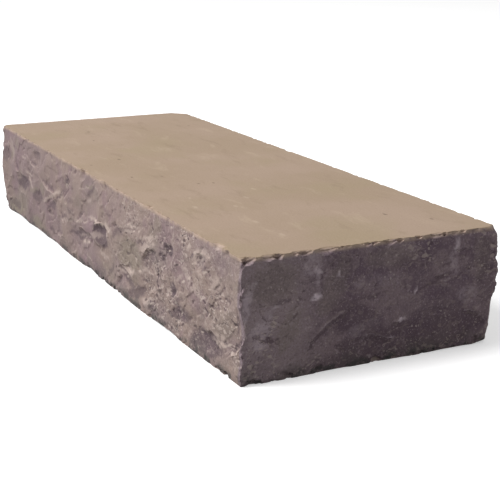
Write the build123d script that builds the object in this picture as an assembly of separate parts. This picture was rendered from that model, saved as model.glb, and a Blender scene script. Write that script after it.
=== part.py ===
"""A solid natural-stone block step, 100 x 35 x 15 cm nominal, hand-dressed, in millimetres.

One piece of stone. The tread on top and the bed underneath are flat. The riser in front, both ends
and the back are pitched: a broad chisel, struck along the arrises, has thrown off shell-shaped flakes,
so each face bows out past its arris and is covered in scars. Bowls run out all round. Ledged scars
end at an arched step on one side, where the flake snapped off. Flutes mark the chisel's edge at the
tread.

+X runs along the step, +Y from the riser to the back, +Z up. The origin is the centre of the bed.
"""

import math
import os
import random

from build123d import *

# Overall sizes, arris to arris at the tread
LENGTH = 1000.0
DEPTH = 356.0
HEIGHT = 155.0

# How a pitched face bows: proud of the arris at its belly, and set back at the foot
BELLY_PROUD = 4.5
BELLY_HEIGHT = 0.5 * HEIGHT
FOOT_SETBACK = 2.0

# Scars that an even hand leaves all over a face: how many, how large, how they stray from even
# steps along and down the face, and how many have a ledge
SCAR_AREA = 3300.0
SCAR_REACH = (18.0, 48.0)
SCAR_SLOPE = (0.06, 0.11)
SCAR_BAND = (0.14, 0.92)
SCAR_SPREAD = 0.618
SCAR_STRAY_ALONG = (0.2, 0.8)
SCAR_STRAY_DOWN = (0.0, 0.12)
LEDGED_SHARE = 0.5
SCAR_SEED = 7

# A ledge's wall: how far it swings from level, leans back, and arches for each unit of reach
LEDGE_SWING = 45.0
LEDGE_LEAN = 28.0
LEDGE_ARCH = 2.4

# The two dressed sides that have placed scars as well take only this share of the even ones
PLACED_SIDE_SHARE = 0.6

# Flutes left by the chisel's edge just below the tread's arris
FLUTE_PITCH = 62.0
FLUTE_RADIUS = 18.0
FLUTE_BITE = (0.5, 1.4)
FLUTE_DROP = (14.0, 32.0)
FLUTE_LEAN = 3.0
FLUTE_STRAY = (0.2, 0.8)
FLUTE_SEED = 19

# A ball's seam points this way round Z, which no face does
SEAM_TURN = 45.0

# Corners that were knocked off: which corner, and how far the spall reaches along X, Y and Z
SPALL_ROUND = 2.5
CORNER_SPALLS = [
    ((1, -1, 1), (5, 14, 7)),
    ((1, 1, 1), (9, 12, 10)),
    ((-1, -1, 1), (8, 7, 9)),
    ((-1, 1, 1), (27, 24, 60)),
    ((-1, -1, -1), (22, 14, 6)),
    ((1, 1, -1), (26, 60, 6)),
]

# Chips out of the foot: along from the left end or from the front, reach, and how far they rise
RISER_FOOT_CHIPS = [(85, 62, 4.5), (190, 70, 4.0), (275, 46, 4.2), (466, 34, 4.0), (770, 60, 3.2)]
RIGHT_FOOT_CHIPS = [(122, 30, 2.2), (205, 34, 2.0), (300, 56, 3.4)]
BACK_FOOT_CHIPS = [(140, 48, 3.4), (430, 60, 4.2), (690, 36, 2.6), (905, 44, 3.8)]
LEFT_FOOT_CHIPS = [(90, 40, 3.0), (250, 52, 3.6)]

# Bowls that stand out on the riser: along from the left end, down from the tread, reach, bite
RISER_BOWLS = [
    (62, 28, 24, 2.0),
    (290, 124, 46, 4.0),
    (372, 29, 10, 2.6),
    (447, 3, 11, 2.2),
    (402, 128, 32, 3.2),
    (592, 62, 16, 2.6),
    (645, 84, 46, 3.8),
    (838, 66, 40, 2.2),
    (948, 79, 33, 2.4),
    (32, 88, 40, 2.6),
    (66, 128, 42, 3.2),
    (316, 26, 34, 1.9),
    (958, 30, 30, 2.0),
    (552, 128, 40, 3.0),
]

# Ledged scars on the riser: the middle of the ledge, which way the flake ran, reach, bite.
# A turn of 0 runs straight down from the ledge, 90 towards the right-hand end, 180 straight up.
RISER_LEDGES = [
    (22, 38, 25, 28, 3.4),
    (128, 69, -6, 40, 5.2),
    (168, 59, 160, 26, 2.4),
    (214, 80, 8, 28, 3.8),
    (210, 12, 4, 24, 2.4),
    (284, 82, 19, 50, 4.6),
    (345, 58, 196, 30, 2.8),
    (440, 95, 12, 60, 4.4),
    (480, 30, 10, 22, 2.2),
    (526, 70, 4, 37, 6.6),
    (460, 105, -8, 20, 2.8),
    (600, 54, -10, 32, 3.2),
    (634, 112, -12, 36, 3.6),
    (718, 60, 27, 36, 4.8),
    (706, 122, 185, 38, 3.4),
    (782, 35, 12, 21, 3.8),
    (796, 83, -20, 14, 3.4),
    (816, 106, -15, 38, 4.2),
    (886, 23, 15, 19, 2.4),
    (900, 116, 14, 47, 4.8),
    (962, 118, 188, 30, 2.6),
]

# The same for the end on the right, along from the front
RIGHT_END_BOWLS = [
    (12, 54, 18, 2.2),
    (62, 38, 38, 3.6),
    (134, 36, 33, 3.4),
    (212, 66, 40, 3.2),
    (262, 120, 46, 4.2),
    (322, 58, 38, 4.0),
]
RIGHT_END_LEDGES = [
    (104, 100, 43, 56, 4.8),
    (30, 108, 158, 24, 2.8),
    (98, 62, 176, 16, 2.0),
    (216, 103, 0, 14, 2.2),
    (178, 118, -12, 40, 3.4),
    (280, 44, 205, 28, 2.6),
    (330, 112, -30, 34, 3.4),
]


def bowed_profile(width):
    """The outline across a step of that width: level tread and bed, and bowed, pitched sides."""
    top = width / 2
    belly = top + BELLY_PROUD
    foot = top - FOOT_SETBACK
    with BuildSketch() as section:
        with BuildLine():
            Line((-top, HEIGHT), (top, HEIGHT))
            ThreePointArc((top, HEIGHT), (belly, BELLY_HEIGHT), (foot, 0))
            Line((foot, 0), (-foot, 0))
            ThreePointArc((-foot, 0), (-belly, BELLY_HEIGHT), (-top, HEIGHT))
        make_face()
    return section.sketch


def squared_block():
    """The block before any flake is struck: two bowed prisms crossed, one along X and one along Y."""
    reach = LENGTH + DEPTH
    along = extrude(Plane.YZ * bowed_profile(DEPTH), reach / 2, both=True)
    across = extrude(Plane.XZ * bowed_profile(LENGTH), reach / 2, both=True)
    return along & across


def bow(drop):
    """How far a pitched face stands out from its tread arris, at that drop below the tread."""
    span = math.hypot(HEIGHT, FOOT_SETBACK)
    rise = BELLY_PROUD + FOOT_SETBACK / 2
    radius = (span**2 / 4 + rise**2) / (2 * rise)
    from_middle = drop - HEIGHT / 2
    return rise - (radius - math.sqrt(radius**2 - from_middle**2)) - FOOT_SETBACK * drop / HEIGHT


class Side:
    """One pitched face: where its tread arris starts, which way it runs, and which way it looks."""

    def __init__(self, start, run, out, length):
        self.start = Vector(*start)
        self.run = Vector(*run)
        self.out = Vector(*out)
        self.length = length

    def point(self, along, drop, out=0.0):
        """The point so far along the arris and down from it, and out from the bowed face."""
        return self.start + self.run * along - Vector(0, 0, drop) + self.out * (bow(drop) + out)

    def heading(self, turn):
        """The direction on the face at that turn, in degrees, from straight down."""
        angle = math.radians(turn)
        return self.run * math.sin(angle) - Vector(0, 0, math.cos(angle))


RISER = Side((-LENGTH / 2, -DEPTH / 2, HEIGHT), (1, 0, 0), (0, -1, 0), LENGTH)
RIGHT_END = Side((LENGTH / 2, -DEPTH / 2, HEIGHT), (0, 1, 0), (1, 0, 0), DEPTH)
BACK = Side((LENGTH / 2, DEPTH / 2, HEIGHT), (-1, 0, 0), (0, 1, 0), LENGTH)
LEFT_END = Side((-LENGTH / 2, DEPTH / 2, HEIGHT), (0, -1, 0), (-1, 0, 0), DEPTH)


def ball(centre, radius):
    """A ball there, with its seam turned away from the four faces."""
    return Pos(centre) * Rot(0, 0, SEAM_TURN) * Sphere(radius)


def ball_radius(reach, bite):
    """The radius of the ball whose cap is that wide, to its rim, and that deep."""
    return (reach**2 + bite**2) / (2 * bite)


def bowl(side, along, drop, reach, bite):
    """The ball that scoops a bowl out of a face, that wide and that deep."""
    radius = ball_radius(reach, bite)
    return ball(side.point(along, drop, radius - bite), radius)


def ledged_scar(side, along, drop, turn, reach, bite):
    """The part of such a ball inside a steep arched wall, which leaves a ledge and then runs out."""
    foot = Plane(origin=side.point(along, drop, -bite), x_dir=side.heading(turn), z_dir=side.out)
    arch = LEDGE_ARCH * reach
    drum = Rot(0, -LEDGE_LEAN, 0) * Pos(arch, 0, 0) * Cylinder(arch, 4 * reach)
    return bowl(side, along, drop, reach, bite) & (foot * drum)


def even_scars(side, seed, share):
    """Bowls and ledged scars spread evenly over a face, of mixed sizes, as a steady hand leaves them."""
    dice = random.Random(seed)
    count = max(1, round(share * side.length * HEIGHT / SCAR_AREA))
    low, high = SCAR_BAND
    made = []
    for number in range(count):
        along = (number + dice.uniform(*SCAR_STRAY_ALONG)) * side.length / count
        down = (number * SCAR_SPREAD + dice.uniform(*SCAR_STRAY_DOWN)) % 1.0
        drop = HEIGHT * (low + (high - low) * down)
        reach = dice.uniform(*SCAR_REACH)
        bite = reach * dice.uniform(*SCAR_SLOPE)
        turn = dice.uniform(-LEDGE_SWING, LEDGE_SWING) + dice.choice((0, 180))
        if dice.random() < LEDGED_SHARE:
            made.append(ledged_scar(side, along, drop, turn, reach, bite))
        else:
            made.append(bowl(side, along, drop, reach, bite))
    return made


def chisel_flutes(side, seed):
    """Round flutes that start at the tread's arris and run out down the face."""
    dice = random.Random(seed)
    count = max(1, round(side.length / FLUTE_PITCH))
    made = []
    for number in range(count):
        along = (number + dice.uniform(*FLUTE_STRAY)) * side.length / count
        drop = dice.uniform(*FLUTE_DROP)
        bite = dice.uniform(*FLUTE_BITE)
        top = side.point(along, 0) + side.out * (FLUTE_RADIUS - bite)
        foot = side.point(along + dice.uniform(-FLUTE_LEAN, FLUTE_LEAN), drop) + side.out * FLUTE_RADIUS
        made.append(Plane(origin=foot, z_dir=top - foot) * Cylinder(FLUTE_RADIUS, 4 * drop))
    return made


def foot_chip(side, along, reach, rise):
    """The ball that takes a shallow chip out of the foot's arris, that wide and that high."""
    corner_way = (side.out - Vector(0, 0, 1)).normalized()
    bite = rise / math.sqrt(2)
    radius = ball_radius(reach, bite)
    return ball(side.point(along, HEIGHT) + corner_way * (radius - bite), radius)


def corner_spall(signs, reach):
    """The ball that knocks a corner off, reaching that far along each of its three arrises."""
    corner = Vector(signs[0] * LENGTH / 2, signs[1] * DEPTH / 2, HEIGHT if signs[2] > 0 else 0)
    slopes = [1 / step for step in reach]
    outward = Vector(*(sign * slope for sign, slope in zip(signs, slopes))).normalized()
    bite = 1 / math.hypot(*slopes)
    radius = SPALL_ROUND * max(reach)
    return ball(corner + outward * (radius - bite), radius)


def build_block():
    """The finished step: every scar, flute, chip and spall is struck off in turn."""
    cutters = []
    shares = (PLACED_SIDE_SHARE, PLACED_SIDE_SHARE, 1.0, 1.0)
    for number, side in enumerate((RISER, RIGHT_END, BACK, LEFT_END)):
        cutters += even_scars(side, SCAR_SEED + number, shares[number])
        cutters += chisel_flutes(side, FLUTE_SEED + number)
    cutters += [bowl(RISER, *scar) for scar in RISER_BOWLS]
    cutters += [ledged_scar(RISER, *scar) for scar in RISER_LEDGES]
    cutters += [bowl(RIGHT_END, *scar) for scar in RIGHT_END_BOWLS]
    cutters += [ledged_scar(RIGHT_END, *scar) for scar in RIGHT_END_LEDGES]
    chips = (RISER_FOOT_CHIPS, RIGHT_FOOT_CHIPS, BACK_FOOT_CHIPS, LEFT_FOOT_CHIPS)
    for side, places in zip((RISER, RIGHT_END, BACK, LEFT_END), chips):
        cutters += [foot_chip(side, *chip) for chip in places]
    cutters += [corner_spall(*spall) for spall in CORNER_SPALLS]
    block = squared_block()
    for cutter in cutters:
        block = block - cutter
    return block


os.makedirs("parts", exist_ok=True)
block = build_block()
box = block.bounding_box()
print("valid", block.is_valid, "solids", len(block.solids()), "faces", len(block.faces()))
print("litres", round(block.volume / 1e6, 2), "size", box.size, "from", box.min, "to", box.max)
export_step(block, "parts/stone_block.step")
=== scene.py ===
import math
from collections import namedtuple

import bmesh
import bpy
from mathutils import Matrix, Vector


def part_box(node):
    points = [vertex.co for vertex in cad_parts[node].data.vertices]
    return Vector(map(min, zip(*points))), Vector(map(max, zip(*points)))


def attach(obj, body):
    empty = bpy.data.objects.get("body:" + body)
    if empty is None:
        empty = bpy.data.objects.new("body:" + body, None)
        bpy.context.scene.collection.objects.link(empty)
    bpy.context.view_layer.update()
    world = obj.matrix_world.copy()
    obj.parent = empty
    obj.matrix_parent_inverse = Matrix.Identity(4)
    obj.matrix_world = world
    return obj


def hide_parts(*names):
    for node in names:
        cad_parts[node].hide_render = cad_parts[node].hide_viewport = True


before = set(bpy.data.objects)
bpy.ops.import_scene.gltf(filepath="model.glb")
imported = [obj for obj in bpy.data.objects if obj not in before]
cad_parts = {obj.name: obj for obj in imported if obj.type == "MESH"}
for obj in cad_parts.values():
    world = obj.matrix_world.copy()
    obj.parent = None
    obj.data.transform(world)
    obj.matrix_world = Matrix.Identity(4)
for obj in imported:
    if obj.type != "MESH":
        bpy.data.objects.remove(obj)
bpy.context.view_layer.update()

MM = 0.001

# The block, from its solid: half its length and depth between arrises, and the tread's height
STONE_NODE = "stone_block"
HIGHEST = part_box(STONE_NODE)[1]
BELLY = 4.5 * MM
HALF_LENGTH = HIGHEST.x - BELLY
HALF_DEPTH = HIGHEST.y - BELLY
TREAD_Z = HIGHEST.z

# The redrawn surface: how close its points lie, how many triangles are kept, and which turns shade
# smoothly and which faces flat
FINE_GRID = 1.7 * MM
GRID = FINE_GRID
TRIANGLES = 190000
CREASE = math.radians(38)
LEVEL = 0.999

# A cloud is given as how many puffs it has to the metre, how many finer layers, and how rough they are.
# A bend is given as how many there are to the metre, and how far they reach. A stretch is where a cloud
# counts: the cloud, the band of it that counts, what is left elsewhere, and how far off it is read.
Stretch = namedtuple("Stretch", "cloud band least apart", defaults=(0.0, None))
MID_CLOUD = (0.5, 0.5, 0.5)
BEND_LAYERS = 3.0
BEND_ROUGHNESS = 0.55


class Wire:
    """One socket of a node tree, so that sums of masks are written plainly."""

    def __init__(self, net, socket):
        self.net = net
        self.socket = socket

    def __add__(self, other):
        return self.net.maths("ADD", self, other)

    def __radd__(self, other):
        return self.net.maths("ADD", other, self)

    def __sub__(self, other):
        return self.net.maths("SUBTRACT", self, other)

    def __rsub__(self, other):
        return self.net.maths("SUBTRACT", other, self)

    def __mul__(self, other):
        return self.net.maths("MULTIPLY", self, other)

    def __rmul__(self, other):
        return self.net.maths("MULTIPLY", other, self)

    def __truediv__(self, other):
        return self.net.maths("DIVIDE", self, other)

    def __rtruediv__(self, other):
        return self.net.maths("DIVIDE", other, self)

    def __neg__(self):
        return self.net.maths("MULTIPLY", self, -1.0)

    def __abs__(self):
        return self.net.maths("ABSOLUTE", self)


class Net:
    """A node tree that is built by calls."""

    def __init__(self, tree):
        self.tree = tree

    def node(self, kind, settings=None, feeds=None, out=0):
        """Adds a node: its settings first, then the values or links of its sockets."""
        made = self.tree.nodes.new(kind)
        for name, value in (settings or {}).items():
            setattr(made, name, value)
        for key, value in (feeds or {}).items():
            self.feed(made.inputs[key], value)
        if isinstance(out, (list, tuple)):
            return [Wire(self, made.outputs[key]) for key in out]
        return Wire(self, made.outputs[out]) if made.outputs else None

    def feed(self, socket, value):
        """Links a wire to a socket, or sets a plain value on it."""
        if isinstance(value, Wire):
            self.tree.links.new(value.socket, socket)
        else:
            socket.default_value = value

    def maths(self, operation, *terms):
        return self.node("ShaderNodeMath", {"operation": operation}, dict(enumerate(terms)))

    def low(self, first, second):
        return self.maths("MINIMUM", first, second)

    def high(self, first, second):
        return self.maths("MAXIMUM", first, second)

    def less(self, first, second):
        return self.maths("LESS_THAN", first, second)

    def more(self, first, second):
        return self.maths("GREATER_THAN", first, second)

    def vector(self, operation, *terms, out=0):
        return self.node("ShaderNodeVectorMath", {"operation": operation}, dict(enumerate(terms)), out)

    def scaled(self, vector, factor):
        return self.node("ShaderNodeVectorMath", {"operation": "SCALE"}, {0: vector, "Scale": factor})

    def stretched(self, vector, by):
        return self.vector("MULTIPLY", vector, by)

    def shifted(self, vector, by):
        return self.vector("ADD", vector, by)

    def distance(self, first, second):
        return self.vector("DISTANCE", first, second, out="Value")

    def dot(self, first, second):
        return self.vector("DOT_PRODUCT", first, second, out="Value")

    def combine(self, x, y, z):
        return self.node("ShaderNodeCombineXYZ", None, {0: x, 1: y, 2: z})

    def split(self, vector):
        return self.node("ShaderNodeSeparateXYZ", None, {0: vector}, out=(0, 1, 2))

    def ramp(self, value, band, low=0.0, high=1.0):
        """A smooth step from low to high as the value goes from the band's first end to its second."""
        feeds = {0: value, 1: band[0], 2: band[1], 3: low, 4: high}
        return self.node("ShaderNodeMapRange", {"interpolation_type": "SMOOTHSTEP"}, feeds)

    def noise(self, place, scale, detail=2.0, roughness=0.5, out=0):
        """Cloudy noise from 0 to 1, mostly near 0.5."""
        feeds = {"Vector": place, "Scale": scale, "Detail": detail, "Roughness": roughness}
        return self.node("ShaderNodeTexNoise", None, feeds, out)

    def some(self, place, stretch):
        """1 where the stretch's cloud counts, and what is left elsewhere."""
        place = self.shifted(place, stretch.apart) if stretch.apart else place
        return self.ramp(self.noise(place, *stretch.cloud), stretch.band, stretch.least)

    def wander(self, place, scale, reach):
        """The place, moved about by up to half that reach each way."""
        cloud = self.noise(place, scale, BEND_LAYERS, BEND_ROUGHNESS, out=1)
        return self.shifted(place, self.scaled(self.vector("SUBTRACT", cloud, MID_CLOUD), reach))

    def cells(self, place, scale, out=0):
        feeds = {"Vector": place, "Scale": scale}
        return self.node("ShaderNodeTexVoronoi", None, feeds, out)


class GeometryNet(Net):
    """A tree that makes a mesh, with named inputs."""

    def __init__(self, name):
        super().__init__(bpy.data.node_groups.new(name, "GeometryNodeTree"))
        self.tree.interface.new_socket("Geometry", in_out="OUTPUT", socket_type="NodeSocketGeometry")
        self.values = {}
        self.inputs = self.tree.nodes.new("NodeGroupInput")

    def input(self, name, kind, value):
        """A named input of the tree, and the value that the modifier gives it."""
        socket = self.tree.interface.new_socket(name, in_out="INPUT", socket_type="NodeSocket" + kind)
        self.values[socket.identifier] = value
        return Wire(self, self.inputs.outputs[name])

    def size(self, name, value):
        return self.input(name, "Float", value)

    def keep(self, geometry, name, value, kind="FLOAT", only=True):
        """Stores a field on the points under a name."""
        feeds = {"Geometry": geometry, "Name": name, "Value": value, "Selection": only}
        return self.node("GeometryNodeStoreNamedAttribute", {"data_type": kind, "domain": "POINT"}, feeds)

    def kept(self, name, kind="FLOAT"):
        return self.node("GeometryNodeInputNamedAttribute", {"data_type": kind}, {"Name": name})

    def position(self):
        return self.node("GeometryNodeInputPosition")

    def place(self, geometry, position, only=True):
        feeds = {"Geometry": geometry, "Position": position, "Selection": only}
        return self.node("GeometryNodeSetPosition", None, feeds)

    def push(self, geometry, by, only=True):
        return self.place(geometry, self.shifted(self.position(), by), only)

    def end(self, geometry, finish):
        geometry = self.node("GeometryNodeRealizeInstances", None, {"Geometry": geometry})
        geometry = self.node("GeometryNodeSetMaterial", None, {"Geometry": geometry, "Material": finish})
        self.feed(self.tree.nodes.new("NodeGroupOutput").inputs["Geometry"], geometry)

    def grow(self, name):
        """Runs the tree on an empty mesh and returns the result as an object with a plain mesh."""
        seed = bpy.data.objects.new(name + "_seed", bpy.data.meshes.new(name + "_seed"))
        bpy.context.scene.collection.objects.link(seed)
        modifier = seed.modifiers.new("grow", "NODES")
        modifier.node_group = self.tree
        for identifier, value in self.values.items():
            modifier[identifier] = value
        grown = seed.evaluated_get(bpy.context.evaluated_depsgraph_get())
        mesh = bpy.data.meshes.new_from_object(grown)
        bpy.data.objects.remove(seed)
        made = bpy.data.objects.new(name, mesh)
        bpy.context.scene.collection.objects.link(made)
        return made


# Patches that show on the riser: along from the left end, down from the tread, turn from level in
# degrees, half length, half height, all in millimetres, and how strong. Pale ones are pale chips and painted
# highlight on rims and ridges lit from above; dark ones are darker stone and painted shade in hollows and
# painted shadow under ledges
RISER_PALE_AND_LIT = [
    (62, 30, -50, 20, 10, 0.5), (175, 73, -30, 14, 5, 0.8), (140, 35, 8, 13, 3, 0.7),
    (168, 59, 10, 20, 3, 0.7), (284, 76, 19, 54, 4, 0.9), (370, 38, 0, 10, 4, 0.9),
    (478, 94, 12, 55, 4, 0.7), (530, 69, 4, 42, 5, 1.1), (456, 112, 8, 24, 4, 0.8), (640, 52, 10, 24, 3, 1),
    (632, 112, 10, 38, 5, 1), (716, 54, 20, 28, 6, 1), (884, 26, 20, 20, 8, 1), (840, 60, -30, 18, 8, 0.7),
    (872, 74, 0, 18, 6, 0.8), (925, 48, 30, 16, 8, 0.8), (700, 135, 0, 16, 5, 0.8), (945, 112, 0, 12, 8, 1),
    (690, 95, 35, 22, 4, 0.8), (535, 112, -8, 20, 4, 0.8), (640, 44, 12, 44, 2, 0.9),
    (722, 42, 15, 34, 2.5, 1), (420, 84, 12, 60, 2.5, 0.8), (495, 68, -4, 30, 3, 1),
    (545, 76, -20, 18, 3, 0.9), (455, 28, 15, 22, 2, 0.8), (470, 42, 20, 10, 3, 0.8),
    (852, 22, 20, 10, 3, 1.1), (878, 36, 10, 14, 3, 1.1), (905, 24, 30, 10, 3, 0.9),
    (812, 72, 25, 16, 3, 0.8), (938, 118, 30, 16, 5, 0.9), (350, 100, 0, 16, 2, 0.7),
    (340, 68, 30, 16, 2, 0.6),
]
RISER_DARK_AND_SHADED = [
    (25, 50, 10, 30, 14, 0.9), (130, 82, 8, 40, 11, 1.1), (214, 90, 5, 26, 10, 0.8),
    (284, 92, 19, 32, 5, 0.9), (210, 20, 0, 18, 9, 0.6), (370, 28, 0, 8, 5, 1.1), (482, 28, 22, 20, 4, 0.9),
    (430, 104, 12, 62, 5, 1), (525, 86, 0, 35, 16, 1.2), (597, 62, 5, 24, 6, 0.5),
    (720, 73, 25, 26, 7, 0.6), (783, 43, 15, 18, 8, 1.2), (761, 57, 0, 12, 5, 0.9), (750, 79, 90, 12, 3, 1),
    (795, 91, 0, 11, 7, 1.2), (886, 33, 30, 16, 3, 1), (815, 120, 8, 38, 11, 1), (900, 134, 5, 50, 17, 1.1),
    (981, 79, 80, 18, 3, 1), (640, 124, -8, 32, 6, 0.9), (660, 134, 20, 40, 8, 0.9),
    (60, 134, 8, 40, 9, 0.8), (392, 60, 5, 18, 5, 0.6), (275, 134, 0, 14, 5, 0.9),
    (340, 62, 35, 22, 3, 0.9), (305, 80, 17, 26, 3, 0.8), (592, 62, 25, 22, 3, 0.8),
    (615, 55, 12, 40, 2.5, 0.8), (700, 108, 20, 16, 3, 0.9), (812, 104, 10, 20, 3, 0.8),
    (690, 55, 12, 26, 2.5, 0.8), (715, 138, 5, 26, 5, 0.9), (862, 28, 25, 12, 2, 1.2),
    (898, 38, 15, 10, 2, 1.1), (560, 128, 30, 20, 5, 0.8), (365, 92, 5, 34, 3, 0.8),
    (470, 100, 14, 60, 2.5, 1), (395, 76, 0, 16, 4, 0.7), (925, 78, 5, 16, 2, 0.7),
]
RISER_GREEN = [
    (645, 84, 8, 48, 24, 1), (250, 70, 10, 22, 12, 0.9), (110, 125, 10, 44, 20, 0.8),
    (110, 18, 0, 24, 14, 0.6), (745, 18, 0, 20, 10, 0.7), (540, 135, 0, 44, 14, 0.6),
    (170, 108, 0, 34, 12, 0.6), (70, 136, 6, 52, 14, 1.3), (180, 138, 0, 50, 12, 1.2),
    (190, 84, 10, 30, 6, 1), (62, 42, 60, 16, 8, 0.9), (475, 22, 10, 16, 4, 1.2),
]
# Patches on the right-hand end, given the same way along from the riser: pale chips and painted highlight on
# ridges that face the lamp
END_PALE_AND_LIT = [
    (91, 16, 70, 16, 12, 0.7), (100, 27, 0, 7, 4, 1.4), (97, 59, 10, 8, 4, 2.2), (217, 102, 0, 8, 2.5, 2.2),
    (297, 13, 90, 9, 3, 1.3), (292, 36, 80, 18, 8, 0.6), (25, 92, 60, 26, 15, 0.9), (9, 50, 70, 24, 6, 1),
    (129, 35, 80, 5, 2, 1.8), (232, 66, 45, 6, 1.5, 1.8), (101, 44, 85, 20, 3, 0.7),
    (310, 85, 0, 14, 12, 0.5), (180, 50, 0, 34, 10, 0.25), (160, 105, 15, 24, 6, 0.4),
    (47, 66, 20, 7, 2, 1.4), (10, 66, 60, 14, 1.5, 1.6), (295, 17, 85, 12, 2, 1.6),
    (170, 118, 25, 14, 2, 0.8), (202, 126, 0, 8, 2, 0.9), (110, 100, 30, 12, 2, 0.8),
]
# Darker stone and painted shade: a band along the foot, the far side, and painted shadow under chips
END_DARK_AND_SHADED = [
    (40, 32, 0, 30, 24, 0.3), (226, 132, 4, 130, 28, 1), (150, 92, -30, 46, 22, 0.7),
    (216, 108, 0, 14, 5, 1.2), (338, 60, 90, 60, 14, 0.6), (130, 16, 0, 22, 12, 0.3),
    (270, 104, 0, 40, 14, 0.6), (235, 30, 0, 30, 16, 0.4), (160, 70, 8, 30, 2, 0.9),
    (122, 76, 70, 16, 4, 0.7), (216, 107, 8, 16, 2.5, 1.2), (106, 40, 80, 22, 3, 0.7),
    (55, 60, 15, 14, 3, 0.8), (190, 142, 5, 40, 6, 0.8), (300, 130, 10, 40, 10, 0.7),
    (75, 148, 5, 40, 5, 0.7),
]
END_GREEN = [
    (42, 34, 0, 34, 28, 1), (64, 92, 70, 30, 12, 1), (122, 50, 60, 40, 16, 0.8), (200, 22, 0, 40, 14, 0.6),
    (330, 40, 90, 30, 12, 0.7), (300, 140, 0, 20, 8, 0.8),
]

PATCHES = [
    ("pale", RISER_PALE_AND_LIT, END_PALE_AND_LIT),
    ("dark", RISER_DARK_AND_SHADED, END_DARK_AND_SHADED),
    ("green", RISER_GREEN, END_GREEN),
]

# Where a patch fades, in squares of its half sizes, and how its outline bends and frays
PATCH_RIM = (0.45, 1.3)
PATCH_BEND = (28.0, 24 * MM)
PATCH_FRAY = (100.0, 9 * MM)


def soft_patch():
    """A tree that lays one soft-edged patch on a mask, which rises to the patch's strength inside it."""
    tree = bpy.data.node_groups.new("soft_patch", "GeometryNodeTree")
    kinds = {
        "Mask": "Float", "Spot": "Vector", "Middle": "Vector", "Lengthwise": "Vector", "Crosswise": "Vector",
        "Strength": "Float",
    }
    for name, kind in kinds.items():
        tree.interface.new_socket(name, in_out="INPUT", socket_type="NodeSocket" + kind)
    tree.interface.new_socket("Mask", in_out="OUTPUT", socket_type="NodeSocketFloat")
    net = Net(tree)
    inputs = tree.nodes.new("NodeGroupInput")
    mask, spot, middle, lengthwise, crosswise, strength = [Wire(net, inputs.outputs[name]) for name in kinds]
    from_middle = net.vector("SUBTRACT", spot, middle)
    along = net.dot(from_middle, lengthwise)
    across = net.dot(from_middle, crosswise)
    covered = net.ramp(along * along + across * across, PATCH_RIM, strength, 0.0)
    net.feed(tree.nodes.new("NodeGroupOutput").inputs["Mask"], net.high(mask, covered))
    return tree


def patch_mask(net, patch, along, drop, patches):
    """How strongly the soft-edged patches of a list cover a place on their face."""
    spot = net.combine(along, drop, 0.0)
    mask = 0.0
    for middle, down, turn, half_long, half_high, strength in patches:
        cosine = math.cos(math.radians(turn))
        sine = -math.sin(math.radians(turn))
        feeds = {
            "Mask": mask, "Spot": spot, "Middle": (middle * MM, down * MM, 0.0), "Strength": strength,
            "Lengthwise": (cosine / (half_long * MM), sine / (half_long * MM), 0.0),
            "Crosswise": (-sine / (half_high * MM), cosine / (half_high * MM), 0.0),
        }
        mask = net.node("GeometryNodeGroup", {"node_tree": patch}, feeds)
    return mask


# Relief of a pitched face, finer than the solid holds. It lies along the bed of the stone, which dips.
EDGE_BAND = 22 * MM
BREAK_SEED = 3.7
BED_STRETCH = 1.7
BED_DIP = math.radians(12)
BREAK_BEND = (24.0, 26 * MM)

# Calm stretches, and how much of the dishes and steps they lose
CALM = Stretch((12.0, 2.0), (0.38, 0.56))
CALM_DISHES = 0.8
CALM_STEPS = 0.4

# Dishes: how wide and how deep each size is, how closely they lie, and where they are level
DISHES = ((58 * MM, 1.7 * MM), (25 * MM, 0.7 * MM), (10 * MM, 0.35 * MM))
DISH_CROWDING = 0.8
DISH_LEVEL = 0.25
DISH_DEPTH = 1.5

# Steps between beds: how high, how many, and how short the slope between two
STEP_CLOUD = (1 / (60 * MM), 2.5, 0.5)
STEP_BITE = 1.3 * MM
STEP_LEVELS = 6.0
STEP_SLOPE = (0.0, 0.10)

# Upright streaks of the chisel, below the tread in some stretches
STREAK_SQUEEZE = 0.15
STREAK_SEED = 4.0
STREAK_CLOUD = (130.0, 3.0, 0.6)
STREAK_DROP = (4 * MM, 30 * MM)
STREAK_BITE = 0.5 * MM
STRUCK_SEED = 9.0
STRUCK = Stretch((9.0, 2.0), (0.45, 0.6))

# Small pits, in the roughest stone, and grain all over
PIT_SPACING = 11 * MM
PIT_BEND = (80.0, 8 * MM)
PIT_CHANCE = (0.70, 0.76)
PIT_RIM = (0.06, 0.40)
PIT_BITE = 1.2 * MM
GRAIN_CLOUD = (230.0, 5.0, 0.66)
GRAIN_BITE = 0.7 * MM
GRAIN_ALL = 0.25
GRAIN_COARSE = 0.9


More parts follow.
